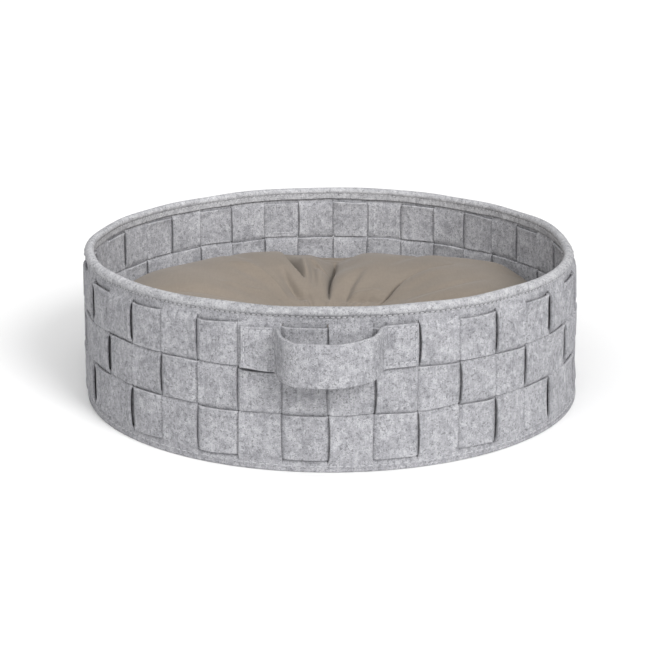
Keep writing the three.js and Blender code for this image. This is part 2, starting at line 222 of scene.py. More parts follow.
# Folds in the cushion's top. A point of a path has an angle, a radius and a depth, or a height where that
# is negative. The fold is this wide to the left and to the right as one goes along the path, and its end
# has this share of the width. Power 2 is a round trough, 4 has a flat bottom and 1 is a sharp fold.
Fold = namedtuple("Fold", "path left right power narrowing", defaults=(1,))
FOLDS = [
    # trough between the lobes, and its valley
    Fold([(3.21, 238, 0), (3.21, 200, 8.5), (3.21, 150, 8.5), (3.20, 110, 3), (3.20, 80, 0)], 50, 36, 4),
    Fold([(3.085, 242, 4), (3.085, 220, 9), (3.10, 160, 7), (3.13, 115, 2.5), (3.15, 70, 0)], 18, 14, 2),
    Fold([(3.18, 242, 3), (3.18, 220, 7), (3.18, 160, 4.5), (3.175, 115, 1.5), (3.16, 70, 0)], 14, 10, 2),
    # pocket that the left lobe hangs over
    Fold([
        (3.42, 228, 0), (3.423, 205, 7), (3.432, 180, 15), (3.449, 151, 21), (3.455, 122, 14), (3.44, 92, 0),
    ], 14, 2.2, 1.8, 0.3),
    Fold([(3.31, 176, 0), (3.34, 151, -3.5), (3.37, 122, -3.5), (3.42, 84, 0)], 5, 5, 2),
    Fold([(3.27, 160, 0), (3.285, 134, 5.5), (3.325, 100, 5), (3.37, 74, 0)], 4.5, 4.5, 2),
    # narrow fold in the middle
    Fold([(3.115, 215, 0), (3.12, 180, 3.5), (3.135, 132, 4.5), (3.152, 90, 3.5), (3.17, 52, 0)], 8, 7, 2),
    Fold([
        (3.112, 218, 0), (3.112, 190, 9), (3.122, 145, 12), (3.147, 98, 11), (3.157, 76, 7), (3.168, 54, 0),
    ], 1.7, 1.9, 1.4),
    Fold([(3.28, 166, 0), (3.24, 146, 4), (3.21, 138, 4), (3.13, 132, 0)], 2.0, 4, 1.5),
    # left of the middle
    Fold([
        (3.58, 126, 0), (3.62, 106, 5), (3.65, 86, 7.5), (3.655, 73, 8), (3.58, 66, 6), (3.46, 66, 0),
    ], 4, 7, 1.8),
    Fold([
        (3.93, 158, 0), (3.875, 130, -4.5), (3.865, 102, -5.5), (3.88, 79, -4), (3.92, 62, 0),
    ], 2.4, 6, 1.4),
    Fold([(3.99, 150, 0), (3.98, 118, 3), (3.96, 78, 0)], 6, 9, 2),
    Fold([(4.44, 124, 0), (4.355, 110, -3.2), (4.31, 96, -3.2), (4.04, 80, 0)], 3, 7, 1.4),
    Fold([(3.73, 228, 0), (3.73, 190, 3.2), (3.74, 160, 3), (3.76, 128, 0)], 13, 12, 2),
    # right of the middle
    Fold([(2.80, 236, 0), (2.80, 196, 3.6), (2.80, 160, 3.6), (2.82, 105, 0)], 50, 48, 4),
    Fold([(2.62, 230, 0), (2.62, 192, 3.4), (2.62, 165, 2.8), (2.64, 130, 0)], 9, 9, 2),
    Fold([(2.84, 126, 0), (2.86, 102, 5), (2.885, 82, 7), (2.885, 68, 7), (2.84, 59, 4)], 6, 9, 2),
    Fold([(2.86, 65, 0), (2.60, 71, -3.6), (2.47, 75, -3.6), (2.30, 81, 0)], 3.5, 4, 1.8),
    Fold([(2.86, 58, 0), (2.60, 61, 6), (2.42, 64, 6), (2.15, 70, 0)], 2.4, 3, 1.5),
    Fold([
        (2.20, 172, 0), (2.25, 148, 7), (2.275, 131, 10), (2.297, 110, 10), (2.295, 99, 11),
        (2.25, 87, 11), (2.20, 76, 9), (2.14, 64, 6), (2.15, 46, 0),
    ], 2.0, 1.3, 1.2),
    Fold([
        (2.22, 170, 0), (2.26, 146, 3), (2.30, 110, 4.5), (2.25, 87, 4.5), (2.14, 64, 3), (2.14, 46, 0),
    ], 4, 12, 2),
    Fold([(2.10, 150, 0), (2.12, 118, -2), (2.08, 92, -2), (2.0, 66, 0)], 9, 12, 2),
    # fuller right shoulder
    Fold([(1.88, 212, 0), (1.98, 214, -4), (2.10, 214, -8.5), (2.26, 210, -6), (2.44, 202, -1)], 20, 22, 2),
    # front
    Fold([(4.86, 200, 0), (4.80, 140, 6), (4.70, 68, 0)], 12, 7, 2),
    Fold([(5.40, 184, 0), (5.46, 120, 5.5), (5.36, 56, 0)], 4, 11, 1.5),
    Fold([(5.98, 210, 0), (5.92, 140, 7), (6.05, 58, 0)], 12, 6, 2),
    Fold([(0.20, 174, 0), (0.26, 110, 5), (0.14, 52, 0)], 4, 9, 1.5),
    Fold([(0.74, 206, 0), (0.68, 130, 6.5), (0.80, 60, 0)], 9, 12, 2),
    Fold([(1.28, 196, 0), (1.36, 120, 6), (1.30, 54, 0)], 6, 11, 1.6),
    Fold([(1.74, 174, 0), (1.70, 120, 4), (1.80, 62, 0)], 9, 8, 2),
]

# Camera, as fitted to the photograph's rim, base and slits
CAMERA_ELEVATION = math.radians(17.29)
CAMERA_DISTANCE = 1622.5
CAMERA_AIM = 55.6
FOCAL_PIXELS = 1552.6
FRAME_PIXELS = 660
SENSOR = 36.0

# Floor and light, with places and sizes in metres
FLOOR_REACH = 30
FLOOR_DROP = 0.0005
FLOOR_COLOUR = (0.84, 0.84, 0.84)
SKY_LOW = 0.15
SKY_HIGH = 0.7
SUNS = {
    # elevation, direction from the front towards +X and spread, in degrees, and power
    "key": (33, 36, 22, 2.1),
    "front": (34, -2, 100, 2.35),
}
FILL_PLACE = (-0.04, -0.16, 0.33)
FILL_AIM = (0.02, 0.25, 0.11)
FILL_SIZE = (0.4, 0.12)
FILL_POWER = 0.65


def wall_radius(angle, height):
    """Radius of the middle of the weave."""
    radius = np.interp(height, WALL_HEIGHTS, WALL_RADII) + 0 * angle
    for side, narrowness, changes in WALL_CHANGES:
        share = np.maximum(0, side * np.sin(angle)) ** narrowness
        radius = radius + share * np.interp(height, WALL_HEIGHTS, changes)
    return radius


def at(angle, radius, height):
    """Points at an angle, a distance from the axis and a height."""
    radius = radius + 0 * angle
    return np.stack([radius * np.sin(angle), -radius * np.cos(angle), height + 0 * radius], axis=-1)


def on_wall(angle, offset, height):
    """Points at an offset from the middle of the weave."""
    return at(angle, wall_radius(angle, height) + offset, height)


def strip_side(strip, row):
    """1 where the upright strip lies outside the band, and -1 where it lies inside it."""
    return np.where((strip + row) % 2 == 0, 1.0, -1.0)


def around(angle, seed, waves):
    """A wavering between about -1 and 1 that closes on itself round the basket."""
    random = np.random.RandomState(seed)
    total = np.zeros_like(angle)
    for _ in range(waves):
        turns = random.randint(2, 3 * waves + 2)
        total = total + np.sin(angle * turns + random.uniform(0, 2 * math.pi))
    return total / math.sqrt(waves)


def crossing_share(distance):
    """How far a layer has come over to its side, at a distance from where it crosses."""
    share = np.clip(distance / CROSSING, 0, 1)
    return 1.5 * share - 0.5 * share ** 3


def slit_angle(slit):
    """Where a slit lies round the basket."""
    angle = slit * PITCH
    return angle - SLIT_SHIFT * (1 + np.sin(angle - SLIT_SHIFT_TURN))


def row_edge(angle, index):
    """Height of the line between two rows, which wavers round the basket."""
    edge = ROW_EDGES[index] + ROW_DRIFT * around(angle, 40 + index, 9)
    return edge + BACK_RISE * np.sin(angle / 2) ** 4 * (index == 3)


def wall_drift(angle):
    """How far the whole wall stands out or in."""
    return WALL_DRIFT * around(angle, 11, 7)


def square_values(seed, low, high):
    """A random value for each row and strip."""
    return np.random.RandomState(seed).uniform(low, high, (3, STRIPS))


def slit_values():
    """Half opening and lift of each slit's edges, by row and slit."""
    opening = square_values(1, *OPENING_RANGE)
    lift = square_values(2, *LIFT_RANGE)
    for row, values in enumerate(OPEN_SLITS):
        for slit, (wide, high) in enumerate(values, FIRST_OPEN_SLIT):
            opening[row, slit] = wide
            lift[row, slit] = high
    return opening, lift


SLIT_OPENING, SLIT_LIFT = slit_values()
SQUARE_LIFT = np.ones((3, STRIPS))  # share of its lift that each square keeps
SQUARE_LIFT[PRESSED_ROW, PRESSED_STRIPS] = PRESSED_LIFT
SQUARE_SWELL = square_values(3, *SWELL_RANGE)
SQUARE_SWELL[PRESSED_ROW, PRESSED_STRIPS] = PRESSED_SWELL


def add_object(name, data):
    made = bpy.data.objects.new(name, data)
    bpy.context.scene.collection.objects.link(made)
    return made


def mesh_object(name, points, faces, material):
    """A smooth mesh, from points in millimetres."""
    mesh = bpy.data.meshes.new(name)
    mesh.from_pydata((np.asarray(points) * MM).tolist(), [], faces)
    mesh.validate()
    mesh.polygons.foreach_set("use_smooth", [True] * len(mesh.polygons))
    mesh.materials.append(material)
    return add_object(name, mesh)


def mark(made, name, values):
    """Stores a value for each point, for the painted light and shade in the felt's colour."""
    attribute = made.data.attributes.new(name, "FLOAT", "POINT")
    attribute.data.foreach_set("value", np.asarray(values, dtype=np.float32))


def layer_normals(points, closed):
    """Normals of a grid of points of blocks, columns and levels, that face away from the axis."""
    if closed:
        flat = points.reshape(-1, points.shape[2], 3)
        along = (np.roll(flat, -1, axis=0) - np.roll(flat, 1, axis=0)).reshape(points.shape)
    else:
        along = np.gradient(points, axis=1)
    normals = np.cross(along, np.gradient(points, axis=2))
    return normals / np.linalg.norm(normals, axis=-1, keepdims=True)


def sheet_faces(filled):
    """Faces of a closed sheet whose grid has these cells filled. Its points go by column, level and side."""
    columns, cells = filled.shape
    levels = cells + 1
    column, level = np.nonzero(filled)
    after = (column + 1) % columns
    corners = [(column, level), (after, level), (after, level + 1), (column, level + 1)]
    a, b, c, d = ((which * levels + height) * 2 for which, height in corners)
    everywhere = np.ones(len(column), bool)
    padded = np.pad(filled, ((0, 0), (1, 1)))
    sides = [
        (everywhere, [a + 1, b + 1, c + 1, d + 1]),
        (everywhere, [a, d, c, b]),
        (~filled[column - 1, level], [a, a + 1, d + 1, d]),
        (~filled[after, level], [b, c, c + 1, b + 1]),
        (~padded[column, level], [a, b, b + 1, a + 1]),
        (~padded[column, level + 2], [d, d + 1, c + 1, c]),
    ]
    faces = []
    for is_open, quads in sides:
        faces += np.stack(quads, axis=-1)[is_open].tolist()
    return faces


def ring_object(name, points, material, closed):
    """A mesh of columns of points round the axis. Each column closes on itself, or else has end caps."""
    columns, count = points.shape[:2]
    column = np.arange(columns)[:, None]
    step = np.arange(count if closed else count - 1)[None, :]
    after = (column + 1) % columns
    ahead = (step + 1) % count
    corners = [column * count + step, after * count + step, after * count + ahead, column * count + ahead]
    faces = np.stack(corners, axis=-1).reshape(-1, 4).tolist()
    if not closed:
        faces.append([first * count for first in range(columns)][::-1])
        faces.append([first * count + count - 1 for first in range(columns)])
    return mesh_object(name, points.reshape(-1, 3), faces, material)


def felt_sheet(name, middle, from_edge, filled, material, closed, groove=0):
    """A closed sheet of felt about a grid of points of blocks, columns and levels."""
    normals = layer_normals(middle, closed)
    half = FELT / 2 * edge_thickness(from_edge) - groove + np.zeros(middle.shape[:-1])
    faces = np.stack([middle - normals * half[..., None], middle + normals * half[..., None]], axis=3)
    quads = np.asarray(sheet_faces(filled))
    used = np.zeros(faces.size // 3, bool)
    used[quads.ravel()] = True
    renumber = np.cumsum(used) - 1
    made = mesh_object(name, faces.reshape(-1, 3)[used], renumber[quads].tolist(), material)
    # how near each point lies to a cut edge: the mask for the painted light on cut edges
    edge = 1 - np.clip(from_edge / EDGE_ROUNDING, 0, 1) + np.zeros(half.shape)
    mark(made, "edge", np.repeat(edge.ravel(), 2)[used])
    return made


def edge_thickness(distance):
    """Share of the felt's thickness at a distance from a cut edge."""
    share = np.clip(distance / EDGE_ROUNDING, 0, 1)
    return EDGE_THICKNESS + (1 - EDGE_THICKNESS) * np.sqrt(1 - (1 - share) ** 2)


def rise(value, low, high):
    """0 below one value and 1 above the other, with a smooth step between them."""
    share = np.clip((value - low) / (high - low), 0, 1)
    return share * share * (3 - 2 * share)


def across_steps(steps, width):
    """Places across a strip, close together at both of its edges."""
    return np.array(steps + [width / 2] + [width - step for step in steps[::-1]])


def wall_levels():
    """Heights of the wall's rows of points, close together where the strips change side."""
    heights = [WALL_BOTTOM, WALL_BOTTOM + 0.6, 4.5, 6.0, 7.6, SLIT_BOTTOM]
    for low, high in zip(ROW_EDGES[:-1], ROW_EDGES[1:]):
        heights += [low + step for step in ROW_STEPS]
        heights += [low + (high - low) * share for share in (0.4, 0.5, 0.6)]
        heights += [high - step for step in ROW_STEPS[::-1]]
    heights += [SLIT_TOP, 140.0, 141.5, 143.0, 144.5, 146.0, WALL_TOP]
    return np.array(heights)


def strip_share(strip, angle, height):
    """Which side an upright strip is on at a height: from -1 inside to 1 outside."""
    share = np.zeros_like(angle)
    for row in range(3):
        low = row_edge(angle, row)
        high = row_edge(angle, row + 1)
        from_low = crossing_share(height - low)
        from_high = crossing_share(high - height)
        if row == 0:
            from_low = rise(height, SLIT_BOTTOM - 3.5, low + CROSSING)
        if row == 2:
            from_high = rise(-height, -SLIT_TOP - 1, -high + CROSSING)
        here = ((height >= low) | (row == 0)) & ((height < high) | (row == 2))
        share = np.where(here, strip_side(strip, row) * np.minimum(from_low, from_high), share)
    return share


def border_bulge(height):
    """How far the uncut borders below and above the slits swell out."""
    low = np.sin(math.pi * np.clip((height - WALL_BOTTOM) / (SLIT_BOTTOM + 1 - WALL_BOTTOM), 0, 1))
    high = np.sin(math.pi * np.clip((height - SLIT_TOP) / (RIM_OUTER_LOW + 1 - SLIT_TOP), 0, 1))
    return BORDER_BULGE * (low + high)


def wall_sheet(material):
    """The wall: one sheet with slits, whose strips stand in and out in turn."""
    levels = wall_levels()
    strip = np.arange(STRIPS)[:, None, None]
    height = levels[None, None, :]
    row = np.clip(np.searchsorted(ROW_EDGES, levels, side="right") - 1, 0, 2)
    edges = np.array(ROW_EDGES)
    share_up = np.clip((levels - edges[row]) / (edges[row + 1] - edges[row]), 0, 1)
    bulge = np.sin(math.pi * share_up) ** BULGE_POWER
    in_slit = (levels > SLIT_BOTTOM) & (levels < SLIT_TOP)
    side_count = len(EDGE_STEPS)
    distance = np.array(EDGE_STEPS + [HALF_STRIP] + EDGE_STEPS[::-1])[None, :, None]
    place = np.arange(2 * side_count + 1)[None, :, None]
    is_left = place < side_count

    def at_slit(table, slit):
        return table[row[None, None, :], slit % STRIPS]

    def slit_line(slit):
        phase = np.random.RandomState(7).uniform(0, 6.28, STRIPS)[slit % STRIPS]
        return SLIT_DRIFT * np.sin(height / SLIT_WAVE + phase) * in_slit

    def half_gap(slit):
        opening = SLIT_REST + at_slit(SLIT_OPENING, slit) * bulge
        opening = opening * rise(height, SLIT_BOTTOM, SLIT_ENDS[0])
        return SLIT_SHUT + opening * rise(-height, -SLIT_TOP, -SLIT_ENDS[1])

    left = slit_angle(strip) + (slit_line(strip) + half_gap(strip) + distance) / MEAN_RADIUS
    right = slit_angle(strip + 1) + (slit_line(strip + 1) - half_gap(strip + 1) - distance) / MEAN_RADIUS
    centre = (slit_angle(strip) + slit_angle(strip + 1)) / 2 + 0 * height
    angle = np.where(place == side_count, centre, np.where(is_left, left, right))
    share = strip_share(strip, angle, height)
    lift = np.where(is_left, at_slit(SLIT_LIFT, strip), at_slit(SLIT_LIFT, strip + 1))
    lift = lift * at_slit(SQUARE_LIFT, strip)
    across = np.clip(distance / HALF_STRIP, 0, 1)
    swell = at_slit(SQUARE_SWELL, strip) * np.sin(across * math.pi / 2) * bulge
    offset = share * (WEAVE + swell + lift * np.exp(-(distance / LIFT_REACH) ** 2))
    offset = offset + border_bulge(height) + wall_drift(angle) * rise(height, *DRIFT_HEIGHTS)
    from_edge = np.where(in_slit[None, None, :], distance, EDGE_ROUNDING)
    middle = on_wall(angle, offset, height)
    cells = len(levels) - 1
    filled = np.ones((STRIPS, 2 * side_count + 1, cells), bool)
    filled[:, -1, :] = (levels[1:] <= SLIT_BOTTOM) | (levels[:-1] >= SLIT_TOP)
    made = felt_sheet("wall", middle, from_edge, filled.reshape(-1, cells), material, closed=False)
    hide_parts("wall_sheet")
    return made


def woven_band(row, material):
    """A band that passes over one strip and under the next."""
    reach = np.array(BAND_FROM_SLIT + [HALF_STRIP] + BAND_FROM_SLIT[:0:-1])[None, :, None]
    strip = np.arange(STRIPS)[:, None, None]
    is_left = np.arange(reach.size)[None, :, None] <= len(BAND_FROM_SLIT)
    after_slit = slit_angle(strip) + reach / MEAN_RADIUS
    before_slit = slit_angle(strip + 1) - reach / MEAN_RADIUS
    angle = np.where(is_left, after_slit, before_slit)
    low = row_edge(angle, row) + BAND_GAP + BAND_DRIFT * around(angle, 60 + row, 12)
    high = row_edge(angle, row + 1) - BAND_GAP + BAND_DRIFT * around(angle, 70 + row, 12)
    if row == 1:
        from_dip = (angle - DIP_MIDDLE + math.pi) % (2 * math.pi) - math.pi
        high = high - BAND_DIP * np.exp(-(from_dip / DIP_WIDTH) ** 4)
    width = ROW_EDGES[row + 1] - ROW_EDGES[row] - 2 * BAND_GAP
    across = across_steps(EDGE_STEPS, width) / width
    height = low + (high - low) * across[None, None, :]
    from_edge = np.minimum(across, 1 - across)[None, None, :] * width
    is_low = (across <= 0.5)[None, None, :]
    share = -strip_side(strip, row) * crossing_share(reach)
    low_lift = np.random.RandomState(80 + row).uniform(*BAND_LIFT_RANGE, STRIPS)[strip]
    high_lift = np.random.RandomState(90 + row).uniform(*BAND_LIFT_RANGE, STRIPS)[strip]
    lift = np.where(is_low, low_lift, high_lift) * np.exp(-(from_edge / LIFT_REACH) ** 2)
    lift = lift * SQUARE_LIFT[row][strip]
    bulge = np.sin(math.pi * across)[None, None, :] ** BULGE_POWER
    swell = SQUARE_SWELL[row][strip] * np.sin(np.clip(reach / HALF_STRIP, 0, 1) * math.pi / 2) * bulge
    offset = share * (WEAVE + swell + lift) + wall_drift(angle) * rise(height, *DRIFT_HEIGHTS)
    middle = on_wall(angle + 0 * height, offset, height)
    filled = np.ones((STRIPS * reach.size, len(across) - 1), bool)
    name = "band_" + ROW_NAMES[row]
    made = felt_sheet(name + "_felt", middle, from_edge, filled, material, closed=True)
    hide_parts(name)
    return made


def arc(centre_x, centre_y, radius, start, end, steps):
    """Points on an arc between two angles in degrees."""
    turns = np.radians(np.linspace(start, end, steps))
    return [(centre_x + radius * math.cos(turn), centre_y + radius * math.sin(turn)) for turn in turns]


def binding_section():
    """Outline of the folded strip as offset and height, from inside its slot round over the rim."""
    lip = BINDING_LIP
    crown = RIM_TOP - RIM_HALF
    outer_heights = np.linspace(OUTER_HEIGHTS[0], OUTER_HEIGHTS[-1], 9)[:-1]
    inner_heights = np.linspace(INNER_HEIGHTS[-1], INNER_HEIGHTS[0], 13)[1:]
    outer_low = OUTER_OFFSETS[0] - lip
    inner_low = INNER_OFFSETS[0] - lip
    points = [(RIM_SLOT_HALF, RIM_OUTER_LOW + lip), (RIM_SLOT_HALF + 0.1, RIM_OUTER_LOW + 0.1)]
    points += arc(outer_low, RIM_OUTER_LOW + lip, lip, 280, 345, 3)
    points += list(zip(np.interp(outer_heights, OUTER_HEIGHTS, OUTER_OFFSETS), outer_heights))
    points += arc(0, crown, RIM_HALF, 0, 180, 15)
    points += list(zip(-np.interp(inner_heights, INNER_HEIGHTS, INNER_OFFSETS), inner_heights))
    points += arc(-inner_low, RIM_INNER_LOW + lip, lip, 195, 260, 3)
    points += [(-RIM_SLOT_HALF - 0.15, RIM_INNER_LOW + 0.1), (-RIM_SLOT_HALF, RIM_INNER_LOW + lip)]
    points += [(-RIM_SLOT_HALF, RIM_SLOT_TOP), (RIM_SLOT_HALF, RIM_SLOT_TOP)]
    return np.array(points)


def needle_holes(angle):
    """1 at a needle hole of the rim's seam, and 0 halfway to the next."""
    return (0.5 + 0.5 * np.cos(angle / SEAM_PITCH * 2 * math.pi)) ** 2


def near_seam(offset, height, width):
    """1 on the rim's seam, and 0 away from it, on either side."""
    outer = np.exp(-((height - SEAM_HEIGHTS[1]) / width) ** 2) * (offset > 0)
    inner = np.exp(-((height - SEAM_HEIGHTS[-1]) / width) ** 2) * (offset < 0)
    return outer + INNER_SOFTNESS * inner


def puckers(angle, seed):
    """Soft unevenness of the binding between the stitches."""
    return PUCKERS * around(angle, seed, 40) + FINE_PUCKERS * around(angle * 4, seed + 1, 30)


def on_binding(angle, offset, height):
    """Where a point of the binding's section lies once it is sewn down."""
    outer = np.clip(offset / RIM_HALF, 0, 1)
    inner = np.clip(-offset / RIM_HALF, 0, 1)
    loose = rise(-height, -RIM_TOP, -RIM_TOP + RIM_HALF)
    moved = offset + (puckers(angle, 31) * outer - puckers(angle, 33) * inner) * loose
    groove = GROOVE_DEPTH * (0.6 + 0.6 * needle_holes(angle)) * near_seam(offset, height, GROOVE_WIDTH)
    moved = moved + groove * (inner - outer) + wall_drift(angle)
    at_lip = np.minimum(abs(height - RIM_OUTER_LOW), abs(height - RIM_INNER_LOW)) < 3 * BINDING_LIP
    raised = height + CROWN_WAVE * around(angle, 21, 6) * rise(height, *CROWN_HEIGHTS)
    raised = raised + LIP_WAVE * around(angle, 23, 14) * at_lip
    from_back = abs(math.pi - angle % (2 * math.pi))
    return on_wall(angle, moved, raised - RIM_SETTLED * rise(from_back, *SETTLED_FROM))


def rim_binding(material):
    """The strip folded over the wall's edge and sewn through."""
    offset, height = binding_section().T
    angle = np.linspace(0, 2 * math.pi, BINDING_STEPS, endpoint=False)[:, None]
    made = ring_object("binding", on_binding(angle, offset, height), material, closed=True)
    # painted shade in the needle holes of the seams
    seam = needle_holes(angle) * near_seam(offset, height, HOLE_SHADE_REACH)
    mark(made, "hole", (seam * (abs(offset) > RIM_SLOT_HALF + BINDING_LIP)).ravel())
    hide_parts("rim_binding")
    return made


def stitches(name, starts, ends, normals, material):
    """Threads that each arch from one needle hole to the next, as one mesh."""
    along = ends - starts
    direction = along / np.linalg.norm(along, axis=-1, keepdims=True)
    side = np.cross(direction, normals)
    rings = []
    for share, lift in THREAD_ARCH:
        middle = starts + along * share + normals * lift
        for turn in np.linspace(0, 2 * math.pi, THREAD_SIDES, endpoint=False):
            rings.append(middle + THREAD * (side * math.cos(turn) + normals * math.sin(turn)))
    points = np.stack(rings, axis=1).reshape(-1, 3)
    faces = []
    size = len(rings)
    for first in range(0, len(points), size):
        for here in range(first, first + size - THREAD_SIDES):
            beside = here + 1 if (here + 1) % THREAD_SIDES else here + 1 - THREAD_SIDES
            faces.append([here, here + THREAD_SIDES, beside + THREAD_SIDES, beside])
        faces.append([first + corner for corner in range(THREAD_SIDES)])
        faces.append([first + size - 1 - corner for corner in range(THREAD_SIDES)])
    return mesh_object(name, points, faces, material)


def ring_stitches(name, place, side, count, material):
    """Stitches round the basket on its outside, side 1, or its inside, side -1."""
    middle = (np.arange(count) + 0.5) * 2 * math.pi / count
    reach = STITCH_LENGTH / 2 / MEAN_RADIUS
    return stitches(name, place(middle - reach), place(middle + reach), side * at(middle, 1, 0), material)


def seam_on_binding(side):
    """Where the rim's seam runs, as a function of the angle."""
    heights, offsets = (OUTER_HEIGHTS, OUTER_OFFSETS) if side > 0 else (INNER_HEIGHTS, INNER_OFFSETS)
    height = SEAM_HEIGHTS[side]
    offset = side * np.interp(height, heights, offsets)
    return lambda angle: on_binding(angle, offset, height)


def seam_on_foot(angle):
    """Where the seam at the wall's foot runs."""
    offset = FELT / 2 + border_bulge(FOOT_HEIGHT) + THREAD_REST
    return on_wall(angle, offset, FOOT_HEIGHT)


def base_disc(material):
    """The felt floor of the basket. Its edge shows as a thin line under the wall."""
    edge = WALL_RADII[0] + BASE_OVERHANG
    flat = [0.5, *np.linspace(20, 240, 12)]
    profile = [(radius, 0.0) for radius in flat]
    profile += arc(edge - BASE_EDGE, BASE_EDGE, BASE_EDGE, -90, 0, 4)
    profile += arc(edge - BASE_EDGE, FELT - BASE_EDGE, BASE_EDGE, 0, 90, 4)
    profile += [(radius, FELT) for radius in flat[::-1]]
    radius, height = np.array(profile).T
    angle = np.linspace(0, 2 * math.pi, BASE_STEPS, endpoint=False)[:, None]
    points = at(angle, radius * wall_radius(angle, 0) / WALL_RADII[0], height)
    made = ring_object("base", points, material, closed=False)
    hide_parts("base_disc")
    return made


def smooth_path(along, values, places):
    """Values on a smooth curve through the given ones, at places counted in points along it."""
    along = np.asarray(along, float)
    values = np.asarray(values, float)
    slopes = np.gradient(values, along)
    flat = np.diff(values) == 0
    slopes[:-1][flat] = 0
    slopes[1:][flat] = 0
    fine = np.interp(places, np.arange(len(along)), along)
    index = np.clip(np.searchsorted(along, fine, side="right") - 1, 0, len(along) - 2)
    span = along[index + 1] - along[index]
    share = (fine - along[index]) / span
    smooth = values[index] + (values[index + 1] - values[index]) * share ** 2 * (3 - 2 * share)
    bend = slopes[index] * (1 - share) - slopes[index + 1] * share
    return fine, smooth + span * share * (1 - share) * bend


def strap_low(along):
    """Height of the strap's lower edge along it, before its loop sags."""
    share = (along - STRAP_ALONG[0]) / (STRAP_ALONG[-1] - STRAP_ALONG[0])
    return STRAP_LEFT_LOW + (STRAP_RIGHT_LOW - STRAP_LEFT_LOW) * share


def strap_point(along, out, height, turn):
    """Points in the middle of a strap. Its loop leans on nothing, so it sags."""
    sag = STRAP_SAG * np.maximum(0, out / STRAP_REACH) ** 2
    angle = along * PITCH
    return at(angle + turn, wall_radius(angle, height) + STRAP_FACE + out, height - sag)


def box_distance(along, across):
    """Distance to the outline of the sewn box."""
    beside = np.maximum(BOX_FROM - abs(along), abs(along) - BOX_TO) * STRIP
    above = np.maximum(BOX_BOTTOM - across, across - BOX_TOP)
    outside = np.hypot(np.maximum(beside, 0), np.maximum(above, 0))
    return np.where((beside < 0) & (above < 0), -np.maximum(beside, above), outside)


def box_seam():
    """Needle holes of the boxes on both ends of a strap, in pairs with a stitch between them."""
    pairs = []
    for side in (-1, 1):
        corners = [(BOX_FROM, BOX_BOTTOM), (BOX_TO, BOX_BOTTOM), (BOX_TO, BOX_TOP), (BOX_FROM, BOX_TOP)]
        for index, start in enumerate(corners):
            end = corners[(index + 1) % len(corners)]
            count = BOX_STITCHES["along" if index % 2 == 0 else "up"]
            shares = np.arange(count + 1) / count
            holes = np.outer(1 - shares, start) + np.outer(shares, end)
            holes[:, 0] *= side
            pairs += list(zip(holes[:-1], holes[1:]))
    return np.array(pairs)


def painted_hole_shade(along, across):
    """Painted shade in the needle holes of a box: strongest in a hole, and 0 away from it."""
    nearest = np.full(along.shape, np.inf)
    for hole_along, hole_across in box_seam()[:, 0]:
        nearest = np.minimum(nearest, np.hypot((along - hole_along) * STRIP, across - hole_across))
    return BOX_HOLE_SHADE * np.exp(-(nearest / HOLE_SHADE_REACH) ** 2)


def strap(node, turn, material):
    """A handle, sewn flat at its ends."""
    along, out = smooth_path(STRAP_ALONG, STRAP_OUT, np.linspace(0, len(STRAP_ALONG) - 1, STRAP_STEPS))
    across = across_steps(STRAP_FROM_EDGE, STRAP_WIDTH)
    from_end = np.minimum(along - along[0], along[-1] - along) * STRIP
    from_edge = np.minimum(np.minimum(across, STRAP_WIDTH - across)[None, :], from_end[:, None])
    along, across = np.broadcast_arrays(along[:, None], across[None, :])
    groove = BOX_GROOVE / 2 * np.exp(-(box_distance(along, across) / GROOVE_WIDTH) ** 2)
    wave = STRAP_WAVE * around(along, 51, 8)
    near_low_edge = np.exp(-(across / CURL_REACH) ** 2)
    curl = STRAP_CURL * near_low_edge * rise(-along, *CURL_FROM)
    height = strap_low(along) + across + wave * rise(out[:, None], 0, 8) + curl
    loose = STRAP_LOOSE * near_low_edge * rise(-along, *LOOSE_FROM)
    middle = strap_point(along, np.maximum(out, 0)[:, None] - groove + loose, height, turn)
    filled = np.ones((STRAP_STEPS, across.shape[1] - 1), bool)
    filled[-1, :] = False
    name = node + "_strap"
    made = felt_sheet(name, middle[None], from_edge[None], filled, material, closed=False, groove=groove)
    # painted shade in the needle holes of the boxes
    mark(made, "hole", np.repeat(painted_hole_shade(along, across).ravel(), 2))
    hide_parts(node)
    return made


def strap_stitches(node, turn, material):
    """The boxes' threads, on the strap and on the inside of the wall behind it."""
    seam = box_seam()
    gap = (1 - STITCH_LENGTH / STITCH_PITCH) / 2
    first = seam[:, 0] * (1 - gap) + seam[:, 1] * gap
    last = seam[:, 0] * gap + seam[:, 1] * (1 - gap)
    behind = -(WEAVE + THREAD_REST + FELT / 2)
    ends = []
    for along, across in (first.T, last.T):
        angle = along * PITCH + turn
        height = strap_low(along) + across
        outside = strap_point(along, FELT / 2 - BOX_GROOVE, height, turn)
        inside = on_wall(angle, behind - wall_drift(angle), height)
        ends.append(np.concatenate([outside, inside]))
    normals = at((first[:, 0] + last[:, 0]) / 2 * PITCH + turn, 1, 0)
    return stitches(node + "_stitches", *ends, np.concatenate([normals, -normals]), material)


def cushion_section():
    """The cushion's section at even steps along a smooth curve."""
    index = np.arange(len(CUSHION_RADII))
    under = np.linspace(0, CUSHION_TOP_FROM, UNDER_STEPS, endpoint=False)
    places = np.concatenate([under, np.linspace(CUSHION_TOP_FROM, index[-1], TOP_STEPS)])
    fine, radii = smooth_path(index, CUSHION_RADII, places)
    _, heights = smooth_path(index, CUSHION_HEIGHTS, places)
    keep = (fine > 0) & (fine < index[-1])
    return np.maximum(radii[keep], 1.5), heights[keep], fine[keep] > CUSHION_TOP_FROM


